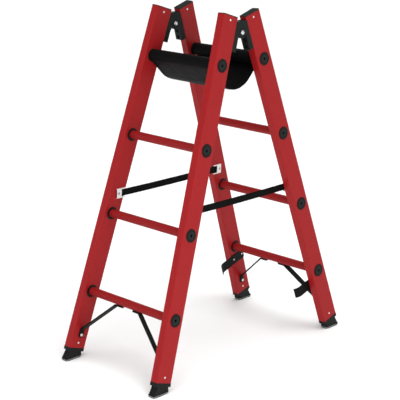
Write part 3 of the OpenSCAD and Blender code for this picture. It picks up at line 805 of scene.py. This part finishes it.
def make_soles():
    """Rubber soles: dark tread bars, a pale layer, a waist, and a dark upper layer with pegs."""
    # Stations as height and inset; the pale layer ends at the waist, where the dark one starts.
    pale = [(TREAD_H - 0.0002, 0.0008), (TREAD_H + 0.0003, 0.0), (0.0048, 0.0)]
    dark = [(0.0051, 0.0010), (0.0056, 0.0010), (0.0060, 0.0002), (0.0074, 0.0), (SOLE_H, 0.0006)]
    peg = [(0.003, SOLE_H - 0.0005), (0.003, SOLE_H + 0.0065), (0.0024, SOLE_H + 0.007)]
    for side in SIDES:
        for hand in HANDS:
            place = Matrix.Translation((HANDS[hand] * SOLE_X, SIDES[side] * SOLE_Y, 0))
            bm = bmesh.new()
            loops = [
                rounded_rectangle(SOLE_HALF_X - cut, SOLE_HALF_Y - cut, SOLE_CORNER, z)
                for z, cut in pale + dark
            ]
            body = skin(bm, loops, place)
            for face in body[:len(pale) * len(loops[0])]:
                face.material_index = 1
            for i in range(TREAD_BARS):
                tread_bar(bm, place, i)
            for y in (-PEG_Y, PEG_Y):
                lathe(bm, peg, place @ Matrix.Translation((0, y, 0)), PEG_POINTS)
            made = piece(f"{side}_sole_{hand}_layered", bm, [f"{side}_sole_{hand}"])
            made.data.materials.append(SOLE_LIGHT)


# ---------------------------------------------------------------------------
# Straps
# ---------------------------------------------------------------------------

STRAP_Y = (PIN_TO_RAIL - STRAP_IN) * math.cos(LEAN) + STRAP_DOWN * math.sin(LEAN)
STRAP_Z = PIN_Z + (PIN_TO_RAIL - STRAP_IN) * math.sin(LEAN) - STRAP_DOWN * math.cos(LEAN)
STRAP_LENGTH = 2 * (STRAP_Y + STRAP_PAST_RIVET)
STRAP_FREE_Y = STRAP_Y - 0.03
STRAP_ROWS = 260
STRAP_RIB = 0.00003
STRAP_SWAY = 0.0006
STRAP_SAG = 0.0016
EDGE_SHARE = 0.2  # how much of the half width is the thicker woven edge
THIN_SHARE = 0.84  # thickness between the woven edges, as a share of theirs


def strap_section(steps=12):
    """Outline of the webbing, as places across its thickness and across its width."""
    section = []
    for face in (1, -1):
        for i in range(steps + 1):
            z = face * (-0.5 + i / steps) * STRAP_W
            edge = max(0.0, abs(z) / (STRAP_W / 2) - (1 - EDGE_SHARE)) / EDGE_SHARE
            rounding = math.sqrt(max(0.0, 1 - edge ** 6 * 0.85))
            thick = STRAP_T / 2 * (THIN_SHARE + (1 - THIN_SHARE) * edge) * rounding
            section.append((face * thick, z))
    return section


def strap_loop(section, sign, middle_x, k):
    """The webbing's outline at row k: finely ribbed, and slightly loose between the clips."""
    y = (k / STRAP_ROWS - 0.5) * STRAP_LENGTH
    rib = STRAP_RIB if k % 2 else -STRAP_RIB
    free = max(0.0, 1.0 - (abs(y) / STRAP_FREE_Y) ** 8)
    sway = STRAP_SWAY * noise.noise(Vector((sign * 3.0, y * 9.0, 0.0)))
    x0 = sign * middle_x + sway * free
    z0 = STRAP_Z - STRAP_SAG * free * (1 - (y / STRAP_Y) ** 2)
    return [(x0 + sign * (x + math.copysign(rib, x)), y, z0 + z) for x, z in section]


def make_straps():
    """Flat webbing with thicker woven edges and a finely ribbed face, mapped in metres."""
    lo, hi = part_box("strap_right")
    middle_x = (lo.x + hi.x) / 2
    section = strap_section()
    count = len(section)
    for hand, sign in HANDS.items():
        bm = bmesh.new()
        uv = bm.loops.layers.uv.new("UVMap")
        faces = skin(bm, [strap_loop(section, sign, middle_x, k) for k in range(STRAP_ROWS + 1)])
        for index, face in enumerate(faces[:-2]):
            k, i = divmod(index, count)
            for loop, (dk, di) in zip(face.loops, ((0, 0), (0, 1), (1, 1), (1, 0))):
                loop[uv].uv = (section[(i + di) % count][1], (k + dk) / STRAP_ROWS * STRAP_LENGTH)
        strap = bending(f"strap_{hand}_webbing", bm, [f"strap_{hand}"], None)


# ---------------------------------------------------------------------------
# Tray
# ---------------------------------------------------------------------------

RUNG_Y = PIN_TO_RAIL * math.cos(LEAN) + rung_down(1) * math.sin(LEAN)
RUNG_Z = PIN_Z + PIN_TO_RAIL * math.sin(LEAN) - rung_down(1) * math.cos(LEAN)
BOTTOM_STEPS, FLANK_STEPS, TURN_STEPS = 20, 26, 30


def tray_half():
    """Middle line of the cloth from its lowest place to its end in the roll, as (y, z), with lengths."""
    outer = TRAY_ROLL_R - CLOTH_T / 2
    tangent = Vector((RUNG_Y + outer * math.sin(TRAY_FLANK), RUNG_Z - outer * math.cos(TRAY_FLANK)))
    bottom = RUNG_Z - TRAY_DROP + CLOTH_T / 2
    radius = (tangent.x - (tangent.y - bottom)) / (math.sin(TRAY_FLANK) - (1 - math.cos(TRAY_FLANK)))

    def on_bottom(angle):
        return Vector((radius * math.sin(angle), bottom + radius * (1 - math.cos(angle))))

    join = on_bottom(TRAY_FLANK)
    points = [on_bottom(TRAY_FLANK * i / BOTTOM_STEPS) for i in range(BOTTOM_STEPS)]
    points += [join.lerp(tangent, i / FLANK_STEPS) for i in range(FLANK_STEPS)]
    turns = round(ROLL_TURNS * TURN_STEPS)
    for i in range(turns + 1):
        a = -TRAY_FLANK + 2 * math.pi * ROLL_TURNS * i / turns
        r = outer + (ROLL_INNER_R - outer) * i / turns
        points.append(Vector((RUNG_Y + r * math.cos(a), RUNG_Z + r * math.sin(a))))
    lengths = [0.0]
    for a, b in zip(points, points[1:]):
        lengths.append(lengths[-1] + (b - a).length)
    return points, lengths


TRAY_POINTS, TRAY_LENGTHS = tray_half()
TROUGH_LENGTH = TRAY_LENGTHS[BOTTOM_STEPS + FLANK_STEPS]
SLEEVE_START = TROUGH_LENGTH - 0.004

# Seams, as lengths from the cloth's lowest place, and hems
SEAMS = (TROUGH_LENGTH - 0.006, TROUGH_LENGTH - 0.010)
SEAMS_MIDDLE = TROUGH_LENGTH - 0.008
SEAM_W, SEAM_PINCH = 0.0009, 0.28
HEM_X = TRAY_HALF - 0.014
HEM_STITCH_X = TRAY_HALF - 0.0125
HEM_BLEND, HEM_EXTRA = 0.0004, 0.75

# How far the cloth stands off its even shape
FOLD, SLACK, CREASE, LIFT = 0.0016, 0.0022, 0.0009, 0.0022
FOLD_FADE, FOLD_START = 0.035, 0.006

SEAM_STITCH_END = TRAY_HALF - 0.016
HEM_STITCH_END = TROUGH_LENGTH - 0.013
STITCH_PITCH = 0.0042
STITCH_HALF = 0.0015
THREAD_UP, THREAD_ACROSS = 0.00042, 0.00038
THREAD_LIFT = 0.0001


def tray_path():
    """The whole section, front end to rear end: point, outward normal and length from the lowest place."""
    half = list(zip(TRAY_POINTS, TRAY_LENGTHS))
    line = [(Vector((-p.x, p.y)), -s) for p, s in reversed(half[1:])] + half
    path = []
    for i, (p, s) in enumerate(line):
        before, after = line[max(0, i - 1)][0], line[min(len(line) - 1, i + 1)][0]
        along = (after - before).normalized()
        path.append((p, Vector((along.y, -along.x)), s))
    return path


def tray_rows():
    """The section with more rows at the seams."""
    at_seams = sorted(sign * seam + d for seam in SEAMS for sign in (-1, 1) for d in (-0.001, 0, 0.001))
    path = tray_path()
    rows = []
    for (p, n, s), (q, m, t) in zip(path, path[1:]):
        rows.append((p, n, s))
        for place in at_seams:
            if s < place < t:
                share = (place - s) / (t - s)
                rows.append((p.lerp(q, share), n.lerp(m, share).normalized(), place))
    rows.append(path[-1])
    return rows


def tray_columns(count=56):
    """Even places across the cloth, with more where its hems start."""
    even = [(i / count * 2 - 1) * TRAY_HALF for i in range(count + 1)]
    at_hems = [sign * (HEM_X + d) for sign in (-1, 1) for d in (-0.0008, 0.0004, 0.0012)]
    return sorted(even + at_hems)


def hem(x):
    """1 where the cloth is folded over at its free ends, and 0 between the hems."""
    return 1.0 / (1.0 + math.exp(-(abs(x) - HEM_X) / HEM_BLEND))


def tray_move(x, s):
    """How far the cloth stands off its even shape: folds by the seams, a slack bottom, lifted ends."""
    slack = max(0.0, 1.0 - (abs(s) / TROUGH_LENGTH) ** 4)
    below = max(0.0, SEAMS_MIDDLE - abs(s))
    near_seam = math.exp(-below / FOLD_FADE) * (1.0 - math.exp(-below / FOLD_START))
    sign = 1.0 if s > 0 else -1.0
    folds = FOLD * near_seam * noise.noise(Vector((x * 46.0, s * 9.0, sign * 4.0)))
    broad = SLACK * slack * noise.noise(Vector((x * 11.0, s * 13.0, 7.0)))
    crease = CREASE * slack * noise.noise(Vector((x * 24.0 + s * 10.0, s * 30.0, 2.0)))
    lifted = -LIFT * slack * (abs(x) / TRAY_HALF) ** 6
    return folds + broad + crease + lifted


def tray_surface(x, row, face):
    """A point on the cloth's outer (1) or inner (-1) face: thick at the hems, pinched at the seams."""
    point, normal, s = row
    in_trough = abs(s) < SLEEVE_START
    pinch = sum(math.exp(-(((abs(s) - seam) / SEAM_W) ** 2)) for seam in SEAMS)
    half = CLOTH_T / 2 * (1 + HEM_EXTRA * hem(x) * in_trough - SEAM_PINCH * min(1.0, pinch))
    move = tray_move(x, s) if in_trough else 0.0
    at = point + normal * (move + face * half)
    return (x, at.x, at.y)


def tray_cloth(xs, rows):
    """Both faces of the cloth and its four cut edges, mapped in metres."""
    bm = bmesh.new()
    uv = bm.loops.layers.uv.new("UVMap")
    grid = {
        side: [[bm.verts.new(tray_surface(x, row, side)) for x in xs] for row in rows] for side in (1, -1)
    }

    def quad(*corners):
        face = bm.faces.new([grid[side][r][c] for side, r, c in corners])
        for loop, (_, r, c) in zip(face.loops, corners):
            loop[uv].uv = (xs[c], rows[r][2])

    last_r, last_c = len(rows) - 1, len(xs) - 1
    for side in (1, -1):
        for r in range(last_r):
            for c in range(last_c):
                quad((side, r, c), (side, r, c + 1), (side, r + 1, c + 1), (side, r + 1, c))
    for r in range(last_r):
        for c in (0, last_c):
            quad((1, r, c), (1, r + 1, c), (-1, r + 1, c), (-1, r, c))
    for c in range(last_c):
        for r in (0, last_r):
            quad((1, r, c), (1, r, c + 1), (-1, r, c + 1), (-1, r, c))
    return bm


def stitch(bm, x, row, along_x):
    """One thread stitch on each face of the cloth, along the rungs or square to them."""
    _, n, _ = row
    along = Vector((1.0, 0.0, 0.0)) if along_x else Vector((0.0, -n.y, n.x))
    stations = ((-1.0, 0.4), (-0.8, 0.85), (0.0, 1.0), (0.8, 0.85), (1.0, 0.4))  # place and thickness
    angles = [math.pi * k / 3 for k in range(6)]
    loops = [
        [(t * STITCH_HALF, THREAD_UP * r * math.cos(a), THREAD_ACROSS * r * math.sin(a)) for a in angles]
        for t, r in stations
    ]
    for face in (1, -1):
        up = Vector((0.0, n.x, n.y)) * face
        axes = Matrix((along, up, along.cross(up))).transposed().to_4x4()
        centre = Vector(tray_surface(x, row, face)) + up * THREAD_LIFT
        skin(bm, loops, Matrix.Translation(centre) @ axes)


def tray_stitches(rows):
    """Two rows of stitches below each roll, and one along each hem."""
    bm = bmesh.new()

    def row_at(s):
        return min(rows, key=lambda row: abs(row[2] - s))

    on_seam = int(SEAM_STITCH_END / STITCH_PITCH)
    on_hem = int(HEM_STITCH_END / STITCH_PITCH)
    for sign in (-1, 1):
        for seam in SEAMS:
            for k in range(-on_seam, on_seam + 1):
                stitch(bm, k * STITCH_PITCH, row_at(sign * seam), along_x=True)
        for k in range(-on_hem, on_hem + 1):
            stitch(bm, sign * HEM_STITCH_X, row_at(k * STITCH_PITCH), along_x=False)
    return bm


def make_tray():
    """One cloth wound round both rungs: sewn sleeves, a slung trough, hemmed ends and stitching."""
    rows = tray_rows()
    cloth_mesh, thread_mesh = tray_cloth(tray_columns(), rows), tray_stitches(rows)
    tray = bending("tool_tray_sling", cloth_mesh, ["tool_tray"], None)
    threads = bending("tool_tray_stitching", thread_mesh, ["tool_tray"], THREAD)


# ---------------------------------------------------------------------------
# Stage
# ---------------------------------------------------------------------------

FLOOR_REACH = 30.0
PALE, PALER = rgb(250, 250, 250), rgb(253, 253, 253)
MIDDLE = (0, 0, 0.6)
CAMERA_PLACE = (3.0267, -3.0749, 1.7267)
CAMERA_AZIMUTH = math.radians(44.77)
CAMERA_ELEVATION = math.radians(15.51)
CAMERA_LENS = 115.19
CAMERA_SENSOR = 36.0


def make_stage():
    """A plain pale floor, faintly uneven in its white."""
    floor = bpy.data.meshes.new("floor")
    corners = [(x * FLOOR_REACH, y * FLOOR_REACH, 0) for x, y in ((-1, -1), (1, -1), (1, 1), (-1, 1))]
    floor.from_pydata(corners, [], [(0, 1, 2, 3)])
    look = Shader("pale_floor")
    spot = look.add("TexCoord").outputs["Object"]
    look.put(look.surface.inputs["Base Color"], look.mix(look.noise(spot, 3.0), PALE, PALER))
    look.surface.inputs["Roughness"].default_value = 0.9
    look.surface.inputs["Specular IOR Level"].default_value = 0.1
    floor.materials.append(look.material)
    obj = bpy.data.objects.new("floor", floor)
    bpy.context.scene.collection.objects.link(obj)


def make_light(name, place, target, size, power):
    """A soft box that faces its target."""
    data = bpy.data.lights.new(name, "AREA")
    data.shape = "RECTANGLE"
    data.size, data.size_y = size
    data.energy = power
    lamp = bpy.data.objects.new(name, data)
    lamp.location = place
    lamp.rotation_euler = (Vector(target) - Vector(place)).to_track_quat("-Z", "Y").to_euler()
    bpy.context.scene.collection.objects.link(lamp)


def make_lights():
    """Three soft boxes and a wide, nearly overhead sun."""
    make_light("side_box", (1.45, -0.75, 0.75), (0, 0, 0.55), size=(0.9, 1.9), power=8.6)
    make_light("front_box", (0.6, -3.2, 1.3), MIDDLE, size=(1.8, 1.8), power=17)
    make_light("back_box", (-1.6, 3.2, 1.8), MIDDLE, size=(1.8, 1.8), power=9)
    sun = bpy.data.lights.new("overhead", "SUN")
    sun.energy = 2.5
    sun.angle = math.radians(60)
    lamp = bpy.data.objects.new("overhead", sun)
    lamp.rotation_euler = (0, math.radians(10), 0)
    bpy.context.scene.collection.objects.link(lamp)


def make_world():
    """A white studio: full bright up to just above the horizon, and dimmer overhead."""
    world = bpy.data.worlds.new("studio")
    bpy.context.scene.world = world
    world.use_nodes = True
    sky = world.node_tree
    background = sky.nodes["Background"]
    background.inputs["Color"].default_value = (1.0, 1.0, 1.0, 1.0)
    height = sky.nodes.new("ShaderNodeSeparateXYZ")
    sky.links.new(sky.nodes.new("ShaderNodeTexCoord").outputs["Generated"], height.inputs[0])
    fade = sky.nodes.new("ShaderNodeMapRange")
    fade.interpolation_type = "SMOOTHSTEP"
    for socket, value in {"From Min": 0.1, "From Max": 0.34, "To Min": 1.0, "To Max": 0.3}.items():
        fade.inputs[socket].default_value = value
    sky.links.new(height.outputs["Z"], fade.inputs["Value"])
    sky.links.new(fade.outputs[0], background.inputs["Strength"])
    bpy.context.scene.view_settings.view_transform = "Standard"


def make_camera():
    """The photo's view, from a pinhole camera fitted to it."""
    level = math.cos(CAMERA_ELEVATION)
    back = Vector((
        math.sin(CAMERA_AZIMUTH) * level, -math.cos(CAMERA_AZIMUTH) * level, math.sin(CAMERA_ELEVATION),
    ))
    data = bpy.data.cameras.new("camera")
    data.lens = CAMERA_LENS
    data.sensor_width = CAMERA_SENSOR
    camera = bpy.data.objects.new("camera", data)
    camera.location = CAMERA_PLACE
    camera.rotation_euler = (-back).to_track_quat("-Z", "Y").to_euler()
    bpy.context.scene.collection.objects.link(camera)
    bpy.context.scene.camera = camera


make_camera()
make_lights()
make_world()
make_stage()
finish_rails()
make_rungs()
make_bushes_and_plugs()
make_rivets()
make_pins()
make_brace_bolts()
make_rounded()
make_soles()
make_straps()
make_tray()
finish_kept_nodes()
